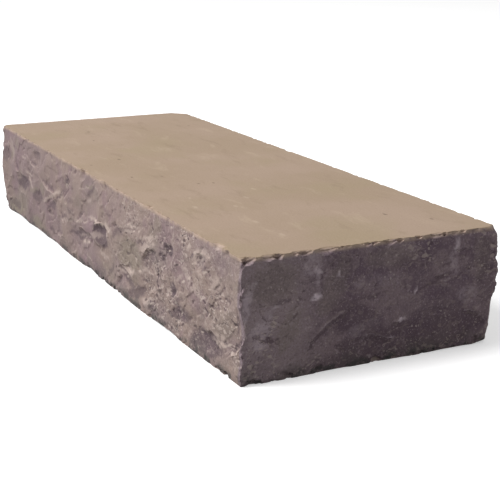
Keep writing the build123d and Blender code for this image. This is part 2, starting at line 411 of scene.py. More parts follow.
def broken_face(net, along, drop, seed, coarse):
    """How deep broken stone lies at a place on a pitched face, below or above its even surface."""
    level_in_bed = along * math.cos(BED_DIP) - drop * math.sin(BED_DIP)
    across_bed = drop * math.cos(BED_DIP) + along * math.sin(BED_DIP)
    bent = net.wander(net.combine(level_in_bed, across_bed * BED_STRETCH, seed), *BREAK_BEND)
    calm = net.some(bent, CALM)
    depth = 0.0
    for width, bite in DISHES:
        reach = net.cells(bent, DISH_CROWDING / width, out="Distance")
        depth = depth + (reach * reach - DISH_LEVEL) * (bite * DISH_DEPTH)
    depth = depth * (1.0 - CALM_DISHES * calm)

    level = net.noise(bent, *STEP_CLOUD) * STEP_LEVELS
    whole = net.maths("FLOOR", level)
    steps = whole + net.ramp(level - whole, STEP_SLOPE) - STEP_LEVELS / 2
    depth = depth + steps * STEP_BITE * (1.0 - CALM_STEPS * calm)

    upright = net.combine(along, drop * STREAK_SQUEEZE, seed + STREAK_SEED)
    streaks = net.noise(upright, *STREAK_CLOUD) - 0.5
    struck = net.some(net.combine(along, 0.0, seed + STRUCK_SEED), STRUCK)
    streaks = streaks * net.ramp(drop, STREAK_DROP, 1.0, 0.0) * struck * (2 * STREAK_BITE)

    flat = net.combine(along, drop, seed)
    distance, colour = net.cells(net.wander(flat, *PIT_BEND), 1 / PIT_SPACING, out=("Distance", "Color"))
    chosen = net.ramp(net.split(colour)[1], PIT_CHANCE) * coarse
    pits = net.ramp(distance, PIT_RIM, 1.0, 0.0) * chosen * PIT_BITE
    grain = (net.noise(flat, *GRAIN_CLOUD) - 0.5) * (2 * GRAIN_BITE) * (GRAIN_ALL + GRAIN_COARSE * coarse)
    return depth + streaks + pits + grain


# Chips broken out of the arrises: how wide, in what share of places, and how far they reach
TREAD_CHIPS = ((24 * MM, 0.22, 8.0 * MM), (12 * MM, 0.34, 5.0 * MM), (5 * MM, 0.45, 2.5 * MM))
FOOT_CHIPS = ((30 * MM, 0.10, 7.0 * MM), (14 * MM, 0.28, 9.0 * MM), (6 * MM, 0.45, 4.0 * MM))
UPRIGHT_CHIPS = ((17 * MM, 0.45, 7.0 * MM), (8 * MM, 0.60, 4.5 * MM))
FOOT_APART = (1.0, 0.0, 0.0)
UPRIGHT_APART = (2.0, 0.0, 0.0)

# Chips seen in their places: x, y, height, how wide, and how far they reach, in millimetres
TREAD_BREAKS = [
    (500, -171, 155, 13, 11), (500, -143, 155, 12, 7), (500, -131, 155, 8, 10), (500, -108, 155, 7, 6),
    (500, -97, 155, 14, 5), (500, -66, 155, 6, 6), (500, -12, 155, 7, 5), (500, 21, 155, 12, 6),
    (500, 33, 155, 6, 8), (500, 62, 155, 6, 7), (500, 88, 155, 13, 5), (500, 99, 155, 5, 8),
    (500, 127, 155, 6, 5), (-53, -178, 155, 13, 10), (250, -178, 155, 8, 5), (372, -178, 155, 6, 3),
]
UPRIGHT_BREAKS = [(500, 178, 40, 42, 12), (500, 178, 12, 30, 11)]
BREAK_SHAKE = (120.0, 9 * MM)
BREAK_FLAT = 0.35

# A chip: how its outline bends, how far apart sizes are read, how sharply places are chosen, the shortest
# against the longest, its rim, its slope down the face, and how near an arris points are moved
CHIP_BEND = 1.6
CHIP_APART = 3.3
CHIP_CHOICE = 0.02
CHIP_SHORTEST = 0.4
CHIP_RIM = (0.25, 0.75)
CHIP_SLOPE = 0.8
CHIP_BAND = 20 * MM

# How much of a chip's reach there is at the left-hand end, at the right-hand one, and at the back right
# corner of the tread, which stayed sharp
LEFT_WEAR = 0.25
RIGHT_WEAR = 1.5
WEAR_FADE = 120 * MM
SHARP_CORNER = (20 * MM, 50 * MM)
SHARP_WEAR = 0.2


def chip_reach(net, place, chips):
    """How far the largest chip at that place on an arris reaches, from a few sizes of them."""
    reach = 0.0
    for number, (size, share, longest) in enumerate(chips):
        spot = net.shifted(net.wander(place, CHIP_BEND / size, size), (number * CHIP_APART, 0.0, 0.0))
        distance, colour = net.cells(spot, 1 / size, out=("Distance", "Color"))
        chance, length, _ = net.split(colour)
        chosen = net.ramp(chance, (1 - share, 1 - share + CHIP_CHOICE))
        held = net.ramp(distance, CHIP_RIM, longest, 0.0)
        reach = net.high(reach, chosen * (CHIP_SHORTEST + (1 - CHIP_SHORTEST) * length) * held)
    return reach


def placed_reach(net, place, breaks):
    """How far the chips of a list reach at that place on an arris."""
    reach = 0.0
    for x, y, z, size, longest in breaks:
        away = net.distance(place, (x * MM, y * MM, z * MM))
        reach = net.high(reach, net.ramp(away, (BREAK_FLAT * size * MM, size * MM), longest * MM, 0.0))
    return reach


# The drawn box: how far it clears the solid, and how unevenly its points are drawn in from the arrises
CLEAR = 1 * MM
RAGGED_REACH = 8 * MM
RAGGED_GAIN = 2.2
RAGGED_CLOUD = (34.0, 4.0, 0.6)
RAGGED_DROP = (5 * MM, 24 * MM)
RAGGED_FOOT = (3 * MM, 20 * MM)
RAGGED_ENDS = (3 * MM, 24 * MM)

# Rough and calm stretches, and the coarse stone towards the right-hand end
ROUGH = Stretch((11.0,), (0.47, 0.56))
NEAR_WAVER = 0.05
NEAR_CLOUD = (14.0,)
COARSE_BAND = (0.03, 0.33)
COARSE_LEAST = 0.2

# How much of the relief is left at the tread's arris, on the ends and on the sides, and at the foot
END_ARRIS = 0.75
SIDE_ARRIS = 0.3
ARRIS_FADE = (0.0, 6 * MM)
FOOT_ARRIS = 0.4
FOOT_FADE = (0.0, 10 * MM)
SIDE_SEED = 5.3
FAR_SEED = 2.1

# How far the foot stands out near the front right-hand corner, over what height, and where it comes in
FOOT_STAND = 4.5 * MM
STAND_RISE = (30 * MM, 4 * MM)
END_STAND = 0.7
STAND_ALONG_END = (-30 * MM, -140 * MM)
STAND_BY_END = (0.0, 300 * MM)
STAND_ALONG_RISER = (-100 * MM, 250 * MM)
STAND_BY_RISER = (100 * MM, -100 * MM)

# How many times the depth is averaged to tell crests from hollows
CREST_ROUNDS = {"crest": 5, "broad_crest": 40}


class PitchedBlock(GeometryNet):
    """The block's surface: its solid, redrawn in fine points and roughened where it was pitched."""

    def __init__(self):
        super().__init__("chisel_block")
        self.length = self.size("Length", 2 * HALF_LENGTH)
        self.depth = self.size("Depth", 2 * HALF_DEPTH)
        self.height = self.size("Height", TREAD_Z)
        self.belly = self.size("Belly", BELLY)
        self.grid = self.size("Grid", GRID)
        self.band = self.size("Edge Band", EDGE_BAND)
        self.ragged = self.size("Ragged Reach", RAGGED_REACH)
        self.seed = self.size("Seed", BREAK_SEED)
        self.solid = self.input("Solid", "Object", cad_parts[STONE_NODE])
        self.finish = self.input("Finish", "Material", stone_finish())
        self.shell = self.drawn_box()
        self.lattice = self.kept("lattice", "FLOAT_VECTOR")
        self.x, self.y, self.z = self.split(self.lattice)
        self.drop = self.height - self.z
        self.from_end = self.length / 2 - abs(self.x)
        self.from_side = self.depth / 2 - abs(self.y)
        self.on_end = self.less(self.from_end, self.grid / 2)
        self.on_side = self.less(self.from_side, self.grid / 2)
        self.in_band = self.less(self.low(self.from_end, self.from_side), self.band)
        off_middle = (self.z - self.height / 2) / (self.height / 2)
        self.bulge = self.belly * (1.0 - off_middle * off_middle) + CLEAR

    def drawn_box(self):
        """A box of fine points, each of which remembers where it began."""
        sizes = (self.length, self.depth, self.height)
        counts = [self.maths("ROUND", size / self.grid) + 1.0 for size in sizes]
        feeds = {0: self.combine(*sizes), 1: counts[0], 2: counts[1], 3: counts[2]}
        box = self.node("GeometryNodeMeshCube", None, feeds)
        x, y, z = self.split(self.position())
        return self.keep(box, "lattice", self.combine(x, y, z + self.height / 2), "FLOAT_VECTOR")

    def lay_on_solid(self):
        """Lays the box on the solid, with the points of the pitched faces drawn unevenly."""
        wide = self.x * (1.0 + self.bulge / (self.length / 2))
        deep = self.y * (1.0 + self.bulge / (self.depth / 2))
        outside = self.combine(wide, deep, self.z)
        inner = self.ramp(self.drop, RAGGED_DROP) * self.ramp(self.z, RAGGED_FOOT)
        inner_end = self.ramp(self.from_end, RAGGED_ENDS)
        inner_side = self.ramp(self.from_side, RAGGED_ENDS)
        cloud = self.vector("SUBTRACT", self.noise(self.lattice, *RAGGED_CLOUD, out=1), MID_CLOUD)
        shift_x, shift_y, shift_z = self.split(self.scaled(cloud, RAGGED_GAIN * self.ragged))
        on_face = self.high(self.on_side * inner_end, self.on_end * inner_side) * inner
        uneven = self.combine(shift_x * self.on_side, shift_y * self.on_end, shift_z)
        uneven = self.scaled(uneven, on_face)
        pitched = self.high(self.on_side, self.on_end)
        shape = self.node("GeometryNodeObjectInfo", None, {"Object": self.solid}, out="Geometry")
        for shift, chosen in ((uneven, pitched), ((0.0, 0.0, 0.0), 1.0 - pitched)):
            feeds = {0: shape, "Source Position": self.shifted(outside, shift)}
            nearest = self.node("GeometryNodeProximity", {"target_element": "FACES"}, feeds, out="Position")
            self.shell = self.place(self.shell, self.vector("SUBTRACT", nearest, shift), chosen)

    def break_faces(self):
        """Roughens the four pitched faces, each with a break of its own."""
        rough = self.some(self.lattice, ROUGH)
        nearness = self.ramp(self.x + NEAR_WAVER * self.noise(self.lattice, *NEAR_CLOUD), COARSE_BAND)
        coarse = nearness * (COARSE_LEAST + (1 - COARSE_LEAST) * rough)
        faces = ((self.x, self.y, self.from_end, END_ARRIS), (self.y, self.x, self.from_side, SIDE_ARRIS))
        pushes = []
        for number, (across, along, from_edge, arris) in enumerate(faces):
            sign = self.maths("SIGN", across)
            near = self.ramp(from_edge, (0.0, self.band), 1.0, 0.0)
            seed = self.seed + number * SIDE_SEED + sign * FAR_SEED
            bite = broken_face(self, along, self.drop, seed, coarse)
            fade = self.ramp(self.drop, ARRIS_FADE, arris) * self.ramp(self.z, FOOT_FADE, FOOT_ARRIS)
            pushes.append(-bite * near * sign * fade)
        self.shell = self.push(self.shell, self.combine(pushes[0], pushes[1], 0.0), self.in_band)

    def stand_foot(self):
        """Moves the foot out near the front right-hand corner, and keeps how far each point is sunk."""
        stand = self.ramp(self.z, STAND_RISE, 0.0, FOOT_STAND)
        out_x = stand * self.ramp(self.from_end, (0.0, self.band), END_STAND, 0.0)
        out_x = out_x * self.ramp(self.y, STAND_ALONG_END) * self.ramp(self.x, STAND_BY_END)
        out_y = stand * self.ramp(self.from_side, (0.0, self.band), 1.0, 0.0)
        out_y = out_y * self.ramp(self.x, STAND_ALONG_RISER) * self.ramp(self.y, STAND_BY_RISER)
        self.shell = self.push(self.shell, self.combine(out_x, -out_y, 0.0), self.in_band)
        x, y, _ = self.split(self.position())
        sunk_end = (self.length / 2 + self.bulge - abs(x)) * self.on_end
        sunk_side = (self.depth / 2 + self.bulge - abs(y)) * self.on_side
        self.shell = self.keep(self.shell, "sunk", self.high(sunk_end, sunk_side))

    def chip_wear(self):
        """How far chips reach against their listed sizes: least at the left end, most at the right."""
        ended = self.ramp(self.from_end, (0.0, WEAR_FADE), 1.0, 0.0) * self.maths("SIGN", self.x)
        wear = 1.0 + self.high(ended, 0.0) * (RIGHT_WEAR - 1.0) + self.low(ended, 0.0) * (1.0 - LEFT_WEAR)
        corner = self.combine(self.length / 2, self.depth / 2, self.height)
        return wear * self.ramp(self.distance(self.lattice, corner), SHARP_CORNER, SHARP_WEAR)

    def chip_arrises(self):
        """Breaks chips out of the tread's and the foot's arrises and the upright ones."""
        wear = self.chip_wear()
        shaken = self.wander(self.lattice, *BREAK_SHAKE)
        tread = chip_reach(self, self.lattice, TREAD_CHIPS) * wear
        tread = self.high(tread, placed_reach(self, shaken, TREAD_BREAKS))
        foot = chip_reach(self, self.shifted(self.lattice, FOOT_APART), FOOT_CHIPS) * wear
        upright = chip_reach(self, self.shifted(self.lattice, UPRIGHT_APART), UPRIGHT_CHIPS) * wear
        upright = self.high(upright, placed_reach(self, shaken, UPRIGHT_BREAKS))
        in_x = 0.0
        in_y = 0.0
        up = 0.0
        for from_edge, reach, lift in ((self.drop, tread, -1.0), (self.z, foot, 1.0)):
            bite_x = self.high((reach - self.from_end - from_edge * CHIP_SLOPE) / 2, 0.0)
            bite_y = self.high((reach - self.from_side - from_edge * CHIP_SLOPE) / 2, 0.0)
            in_x = in_x + bite_x
            in_y = in_y + bite_y
            up = up + self.high(bite_x, bite_y) * lift
        corner = self.high((upright - self.from_end - self.from_side) / 2, 0.0)
        in_x = -self.maths("SIGN", self.x) * (in_x + corner)
        in_y = -self.maths("SIGN", self.y) * (in_y + corner)
        rim = self.low(self.low(self.drop, self.z), self.high(self.from_end, self.from_side))
        by_arris = self.less(self.high(rim, self.low(self.from_end, self.from_side)), CHIP_BAND)
        self.shell = self.push(self.shell, self.combine(in_x, in_y, up), by_arris)

    def mark_patches(self):
        """Keeps, on the riser and the right-hand end, how strongly each kind of patch covers a point."""
        stray = self.wander(self.wander(self.lattice, *PATCH_BEND), *PATCH_FRAY)
        stray_x, stray_y, stray_z = self.split(stray)
        from_left = stray_x + self.length / 2
        from_front = stray_y + self.depth / 2
        fallen = self.height - stray_z
        on_riser = self.on_side * self.less(self.y, 0.0)
        on_right = self.on_end * self.more(self.x, 0.0)
        patch = soft_patch()
        for name, riser_list, end_list in PATCHES:
            riser_mask = patch_mask(self, patch, from_left, fallen, riser_list)
            end_mask = patch_mask(self, patch, from_front, fallen, end_list)
            self.shell = self.keep(self.shell, name, riser_mask, only=on_riser)
            self.shell = self.keep(self.shell, name, end_mask, only=on_right)

    def keep_crests(self):
        """Keeps how far each point stands out from the points round it, near and further off."""
        for name, rounds in CREST_ROUNDS.items():
            feeds = {"Value": self.kept("sunk"), "Iterations": rounds}
            blurred = self.node("GeometryNodeBlurAttribute", {"data_type": "FLOAT"}, feeds)
            self.shell = self.keep(self.shell, name, blurred - self.kept("sunk"))


def chisel_block():
    """The stone step, from the drawn box to its last chip."""
    block = PitchedBlock()
    block.lay_on_solid()
    block.break_faces()
    block.stand_foot()
    block.chip_arrises()
    block.mark_patches()
    block.keep_crests()
    block.end(block.shell, block.finish)
    return block.grow("stone_step")


# How a screen turns its numbers into light
SCREEN_WHITE = 255
SCREEN_KNEE = 0.04045
SCREEN_SLOPE = 12.92
SCREEN_LIFT = 0.055
SCREEN_POWER = 2.4


def screen(red, green, blue):
    """A colour as it looks on a screen, from 0 to 255 a channel, turned into light."""
    light = []
    for channel in (red, green, blue):
        shown = channel / SCREEN_WHITE
        lifted = ((shown + SCREEN_LIFT) / (1 + SCREEN_LIFT)) ** SCREEN_POWER
        light.append(shown / SCREEN_SLOPE if shown < SCREEN_KNEE else lifted)
    return tuple(light) + (1.0,)


# A tone that is laid over the stone: the band of a cloud, a height or a depth where it comes in, how much
# it covers there, its colour, and how much more it covers near the right-hand end. A wash is the same
# where a mask says where it lies.
Tone = namedtuple("Tone", "band share colour more", defaults=(0,))
Wash = namedtuple("Wash", "share colour")


class Paint(Net):
    """A material's tree, with mixes of colour."""

    def mix(self, factor, first, second):
        return self.node("ShaderNodeMix", {"data_type": "RGBA"}, {0: factor, 6: first, 7: second}, out=2)

    def lay(self, under, value, tone, near=None, where=None, colour=None):
        """Lays a tone, or another colour by its rule, over what is under it."""
        mask = self.ramp(value, tone.band) * (tone.share + tone.more * near if tone.more else tone.share)
        if where is not None:
            mask = mask * where
        return self.mix(mask, under, colour or tone.colour)

    def wash(self, under, mask, wash):
        return self.mix(mask * wash.share, under, wash.colour)

    def end(self, surface):
        self.node("ShaderNodeOutputMaterial", None, {"Surface": surface})


# Marks on the tread: along from the left end, back from the riser, and how wide, in millimetres
TREAD_PITS = [
    (530, 48, 4), (395, 78, 5), (542, 90, 3), (617, 140, 4), (222, 97, 4), (137, 117, 4), (887, 262, 5),
    (935, 302, 4),
]
TREAD_LIGHTS = [
    (745, 55, 7), (692, 70, 5), (922, 92, 8), (762, 107, 6), (720, 142, 8), (677, 175, 7), (850, 92, 7),
]

# Fine cracks and bright chips on the riser: along from the left end, down from the tread, and how wide
RISER_CRACKS = [
    (610, 59, 3), (634, 55, 3), (656, 51, 3), (635, 65, 3), (728, 57, 4), (776, 40, 5), (792, 47, 4),
    (766, 59, 5), (816, 54, 3), (883, 28, 3), (896, 30, 2.5), (911, 38, 3), (803, 92, 5), (793, 96, 3),
    (758, 104, 5), (921, 79, 4), (866, 121, 4), (880, 118, 3), (895, 120, 4), (719, 137, 5), (700, 134, 4),
    (587, 116, 4), (627, 20, 3), (561, 25, 3), (753, 79, 3), (830, 130, 4), (935, 128, 4), (982, 84, 4),
    (374, 30, 4), (500, 70, 4), (556, 80, 4),
]
RISER_CHIPS = [
    (685, 41, 4), (664, 46, 3), (714, 58, 3), (784, 44, 3), (872, 24, 4), (886, 22, 3), (903, 41, 4),
    (835, 71, 4), (853, 62, 4), (808, 107, 4), (798, 112, 3), (885, 123, 3), (724, 132, 4), (742, 134, 3),
    (964, 115, 4), (953, 121, 3), (629, 120, 4), (648, 109, 4), (679, 99, 4), (621, 15, 3), (795, 10, 4),
    (842, 13, 3), (915, 60, 3), (560, 71, 4), (530, 66, 4), (505, 66, 4), (447, 112, 4), (470, 108, 4),
    (368, 38, 4), (380, 35, 3), (770, 68, 3), (865, 40, 3), (930, 104, 3), (708, 112, 3),
]

# How marks are drawn out and bent, how steeply the riser's rise, and where they fade, in their widths
TREAD_DRAWN = 0.45
TREAD_BEND = (110.0, 7 * MM)
RISER_DRAWN = 0.33
RISER_BEND = (150.0, 5 * MM)
RISE = math.radians(17)
MARK_CORE = 0.2
MARK_RIM = 0.6


def marks(net, flat, spots):
    """1 on the marks of a list, given as places on a flat picture of the face and how wide they are."""
    mask = 0.0
    for middle, width in spots:
        away = net.distance(flat, middle + (0.0,))
        mask = net.high(mask, net.ramp(away, (MARK_CORE * width * MM, MARK_RIM * width * MM), 1.0, 0.0))
    return mask


def tread_marks(net, place, spots):
    """1 on marks of the tread, twice as long as they are wide."""
    flat = net.stretched(net.wander(place, *TREAD_BEND), (TREAD_DRAWN, 1.0, 0.0))
    middles = []
    for along, back, width in spots:
        middles.append(((TREAD_DRAWN * (along * MM - HALF_LENGTH), back * MM - HALF_DEPTH), width))
    return marks(net, flat, middles)


def riser_marks(net, place, spots):
    """1 on marks of the riser, three times as long as they are wide, rising to the right."""
    cosine = math.cos(RISE)
    sine = math.sin(RISE)
    bent = net.wander(place, *RISER_BEND)
    along = net.dot(bent, (RISER_DRAWN * cosine, 0.0, RISER_DRAWN * sine))
    across = net.dot(bent, (-sine, 0.0, cosine))
    middles = []
    for right, down, width in spots:
        x = right * MM - HALF_LENGTH
        z = TREAD_Z - down * MM
        middles.append(((RISER_DRAWN * (x * cosine + z * sine), z * cosine - x * sine), width))
    return marks(net, net.combine(along, across, 0.0), middles)


# The worn tread: two tans in clouds, olive clouds, wisps drawn out along the step, and speckle
TREAD_CLOUDS = Stretch((5.5, 4.0, 0.55), (0.35, 0.65))
TREAD_TAN = screen(162, 140, 118)
TREAD_PINK = screen(169, 146, 127)
OLIVE_CLOUDS = Stretch((8.0, 3.0), (0.5, 0.72), apart=(3.1, 1.7, 0.0))
OLIVE = Wash(0.5, screen(159, 141, 112))
WISP_BEND = (9.0, 50 * MM)
WISP_DRAWN = (0.35, 1.5, 1.0)
WISP_CLOUD = (26.0, 5.0, 0.65)
WISP_LIGHT = Tone((0.56, 0.72), 0.40, screen(186, 165, 142))
WISP_DARK = Tone((0.44, 0.30), 0.35, screen(138, 117, 96))
TREAD_GRAIN = (420.0, 3.0, 0.6)
GRAIN_LIGHT = Tone((0.52, 0.75), 0.30, screen(188, 169, 148))
GRAIN_DARK = Tone((0.46, 0.28), 0.30, screen(130, 110, 90))

# Its small pits, chance ones and seen ones, and its pale marks
CHANCE_PIT_BEND = (60.0, 6 * MM)
CHANCE_PITS = 26.0
CHANCE_PIT_RIM = (0.03, 0.085)
CHANCE_PIT_CHANCE = (0.86, 0.90)
CHANCE_PIT_SHARE = 0.7
SEEN_PIT_SHARE = 0.75
PIT_COLOUR = screen(100, 82, 64)
PALE_MARK = Wash(0.28, screen(206, 186, 164))


def tread_colour(net, place):
    """Worn tan stone: soft pink and olive clouds, faint wisps along the step, and small marks and pits."""
    colour = net.mix(net.some(place, TREAD_CLOUDS), TREAD_TAN, TREAD_PINK)
    colour = net.wash(colour, net.some(place, OLIVE_CLOUDS), OLIVE)
    wisps = net.noise(net.stretched(net.wander(place, *WISP_BEND), WISP_DRAWN), *WISP_CLOUD)
    colour = net.lay(colour, wisps, WISP_LIGHT)
    colour = net.lay(colour, wisps, WISP_DARK)
    grain = net.noise(place, *TREAD_GRAIN)
    colour = net.lay(colour, grain, GRAIN_LIGHT)
    colour = net.lay(colour, grain, GRAIN_DARK)
    spread = net.wander(place, *CHANCE_PIT_BEND)
    distance, cell = net.cells(spread, CHANCE_PITS, out=("Distance", "Color"))
    pits = net.ramp(distance, CHANCE_PIT_RIM, 1.0, 0.0) * net.ramp(net.split(cell)[0], CHANCE_PIT_CHANCE)
    pits = net.high(pits * CHANCE_PIT_SHARE, tread_marks(net, place, TREAD_PITS) * SEEN_PIT_SHARE)
    colour = net.mix(pits, colour, PIT_COLOUR)
    return net.wash(colour, tread_marks(net, place, TREAD_LIGHTS), PALE_MARK)


# The riser: mauve-grey and tan in clouds, greyer away from the right-hand end, with grey and mauve clouds
RISER_CLOUDS = Stretch((8.0, 4.0, 0.6), (0.36, 0.64))
RISER_MAUVE = screen(151, 131, 131)
RISER_TAN = screen(161, 141, 132)
RISER_FAR = Tone((50 * MM, -450 * MM), 0.45, screen(134, 116, 114))
GREY_CLOUDS = Stretch((12.0, 3.0), (0.52, 0.66), apart=(5.0, 2.0, 1.0))
GREY_SHARE = 0.4
GREY_PATCH = 0.7
GREY = screen(143, 131, 118)
MAUVE_CLOUDS = Stretch((15.0, 3.0), (0.53, 0.68), apart=(1.0, 7.0, 3.0))
MAUVE = Wash(0.6, screen(141, 117, 123))
# Colours of the dark patches, darker stone and painted shade, and of the pale ones, pale chips and painted
# highlight
RISER_DARK_AND_SHADE_WASH = Wash(0.72, screen(90, 74, 80))
RISER_PALE_AND_HIGHLIGHT_WASH = Wash(0.68, screen(206, 186, 176))


def riser_colour(net, x, bent, pale, dark, green):
    """Freshly broken stone: mauve-grey, clouded with tan and grey, and paler towards the right-hand end."""
    colour = net.mix(net.some(bent, RISER_CLOUDS), RISER_MAUVE, RISER_TAN)
    colour = net.lay(colour, x, RISER_FAR)
    greyed = net.some(bent, GREY_CLOUDS) * GREY_SHARE
    colour = net.mix(net.high(greyed, green * GREY_PATCH), colour, GREY)
    colour = net.wash(colour, net.some(bent, MAUVE_CLOUDS), MAUVE)
    # Lays the dark patches, darker stone and painted shade, then the pale ones, pale chips and painted
    # highlight
    return net.wash(net.wash(colour, dark, RISER_DARK_AND_SHADE_WASH), pale, RISER_PALE_AND_HIGHLIGHT_WASH)


# The right-hand end: two dark purple-greys in clouds, darker than the riser as painted shade, paler by
# the riser as painted light, and its patches
END_CLOUDS = Stretch((20.0, 5.0, 0.65), (0.38, 0.62), apart=(9.0, 4.0, 2.0))
END_SHADED_DEEP = screen(108, 90, 101)
END_SHADED_MAUVE = screen(138, 120, 125)
END_PAINTED_LIGHT_BY_RISER = Tone((-40 * MM, -120 * MM), 0.60, screen(160, 143, 146))
END_GREEN_WASH = Wash(0.5, screen(134, 121, 115))
END_DARK_AND_SHADE_WASH = Wash(0.6, screen(82, 65, 74))
END_BROKEN = Stretch((60.0, 4.0, 0.7), (0.40, 0.60), 0.25)
END_PALE_AND_HIGHLIGHT_WASH = Wash(0.45, screen(226, 208, 217))


def end_colour(net, y, bent, pale, dark, green):
    """The same stone at the right-hand end, dark purple-grey as painted shade, paler by the riser as painted
    light.
    """
    colour = net.lay(net.mix(net.some(bent, END_CLOUDS), END_SHADED_DEEP, END_SHADED_MAUVE), y, END_PAINTED_LIGHT_BY_RISER)
    # Dark patches lay darker stone and painted shade, pale ones pale chips and painted highlight
    colour = net.wash(net.wash(colour, green, END_GREEN_WASH), dark, END_DARK_AND_SHADE_WASH)
    return net.wash(colour, pale * net.some(bent, END_BROKEN), END_PALE_AND_HIGHLIGHT_WASH)


# Specks, flecks and cracks: their rims, in spacings
SPECK_RIM = (0.16, 0.30)
FLECK_SOFT = 0.7
CRACK_RIM = (0.010, 0.055)
CRACK_CLOUD = 1.1
CRACK_BAND = (0.50, 0.60)


def specks(net, place, size, share):
    """1 on specks a fifth as wide as their spacing, in that share of places."""
    distance, colour = net.cells(place, 1 / size, out=("Distance", "Color"))
    return net.ramp(distance, SPECK_RIM, 1.0, 0.0) * net.more(net.split(colour)[0], 1.0 - share)


def flecks(net, place, size, share):
    """1 on small angular flecks, in that share of places a size apart."""
    chance = net.split(net.cells(place, 1 / size, out="Color"))[0]
    return net.ramp(chance, (1.0 - share, 1.0 - FLECK_SOFT * share))


def cracks(net, place, size):
    """1 along thin broken lines round pieces of that size."""
    feeds = {"Vector": place, "Scale": 1 / size}
    from_line = net.node("ShaderNodeTexVoronoi", {"feature": "DISTANCE_TO_EDGE"}, feeds)
    some = net.ramp(net.noise(place, CRACK_CLOUD / size), CRACK_BAND)
    return net.ramp(from_line, CRACK_RIM, 1.0, 0.0) * some


# Where the end takes over from the riser, what counts as near it, and how much calmer and more whole it is
STONE_BEND = (30.0, 20 * MM)
STONE_FRAY = (110.0, 8 * MM)
ON_END = (HALF_LENGTH - 7 * MM, HALF_LENGTH - 2 * MM)
ON_RISER = (14 * MM - HALF_DEPTH, 8 * MM - HALF_DEPTH)
NEAR_BAND = (0.0, 350 * MM)
ROUGH_PAINT = ROUGH._replace(least=0.25)
END_CALMER = 0.4
END_WHOLER = 0.6

# Painted shade in broad hollows and painted highlight on broad swells; fine crests paler, partly bruised
# stone and partly painted highlight, in places and less on the end; painted shade in fine dips
HOLLOW_SHADE = Tone((0.0, -2.2 * MM), 0.40, screen(98, 82, 88))
SWELL_HIGHLIGHT = Tone((0.3 * MM, 2.0 * MM), 0.25, screen(186, 168, 158))
CREST_WEAR_AND_LIGHT = Stretch((70.0, 3.0, 0.6), (0.42, 0.56), 0.2)
CREST_BRUISE_AND_HIGHLIGHT = Tone((0.12 * MM, 0.6 * MM), 0.32, screen(204, 186, 177), 0.26)
END_CREST_BRUISE_AND_HIGHLIGHT = screen(206, 188, 196)
DIP_SHADE = Tone((-0.1 * MM, -0.6 * MM), 0.35, screen(88, 72, 78), 0.2)

# Grain of the broken stone, cracks and the pale rim by each (its shift, the least and most of it that
# shows, and its colour), and flecks and holes
STONE_GRAIN = (380.0, 4.0, 0.75)
STONE_LIGHT = Tone((0.54, 0.70), 0.25, screen(190, 172, 166), 0.30)
END_LIGHT = screen(196, 178, 186)
STONE_DARK = Tone((0.46, 0.30), 0.30, screen(84, 68, 74), 0.35)
DIPPED_BEND = (60.0, 12 * MM)
DIPPED = (1.0, 1.0, 1.6)
CRACKED_SIZE = 34 * MM
CRACK_LINES = (
    (0.0, 0.12, 0.5, screen(78, 63, 68)),
    (2.2 * MM, 0.06, 0.42, screen(210, 192, 182)),
)
FLECKS = ((6 * MM, 0.08), (3.2 * MM, 0.08))
FLECK = Wash(0.70, screen(214, 196, 186))
HOLE_APART = (0.5, 0.2, 0.1)
HOLES = (5 * MM, 0.09)
HOLE = Wash(0.75, screen(72, 57, 62))


def broken_colour(net, place, colour, rough, near, on_end):
    """Lays grain, cracks, flecks and holes over the pitched stone."""
    grain = net.noise(place, *STONE_GRAIN)
    light = net.mix(on_end, STONE_LIGHT.colour, END_LIGHT)
    colour = net.lay(colour, grain, STONE_LIGHT, near, colour=light)
    colour = net.lay(colour, grain, STONE_DARK, near)
    dipped = net.stretched(net.wander(place, *DIPPED_BEND), DIPPED)
    torn = rough * (1.0 - END_WHOLER * on_end)
    for above, least, more, tint in CRACK_LINES:
        line = cracks(net, net.shifted(dipped, (0.0, 0.0, above)), CRACKED_SIZE)
        colour = net.mix(line * (least + more * torn), colour, tint)
    light = net.high(*[flecks(net, dipped, *each) for each in FLECKS])
    colour = net.wash(colour, light * rough, FLECK)
    hole = flecks(net, net.shifted(dipped, HOLE_APART), *HOLES)
    return net.wash(colour, hole * rough, HOLE)


# Marks and dots, and how much of them shows
BRIGHT_CHIP = Wash(0.6, screen(220, 202, 190))
FINE_CRACK = Wash(0.7, screen(68, 54, 56))
DOT_BEND = (240.0, 5 * MM)
DOTS = (5 * MM, 0.16)
DOT_LEAST = 0.15
DOT_MORE = 0.30
DOT_COLOUR = screen(212, 196, 192)

# Streaks of the chisel below the tread, a worn arris above them, and patches darker towards the foot
SCORE_DRAWN = (1.0, 1.0, 0.10)
SCORE_CLOUD = (150.0, 3.0, 0.6)
UPRIGHT_ONLY = (1.0, 1.0, 0.0)
SCORED = Stretch((9.0,), (0.46, 0.58))
SCORED_RISE = (TREAD_Z - 48 * MM, TREAD_Z - 10 * MM)
STREAK_LIGHT = Tone((0.56, 0.68), 0.35, screen(200, 182, 174))
STREAK_DARK = Tone((0.44, 0.34), 0.30, screen(96, 80, 84))
ARRIS = Stretch((80.0, 3.0), (0.30, 0.48), 0.3)
WORN_ARRIS = Tone((TREAD_Z - 7 * MM, TREAD_Z - 1.5 * MM), 0.75, screen(194, 170, 150))
FOOT_DARKER_PLACES = Stretch((22.0, 3.0), (0.45, 0.58))
FOOT_DARKER = Tone((34 * MM, 6 * MM), 0.5, screen(98, 90, 88))
FOOT_DARKEST_PLACES = Stretch((60.0, 4.0, 0.65), (0.46, 0.54))
FOOT_DARKEST = Tone((15 * MM, 4 * MM), 0.8, screen(62, 62, 60))


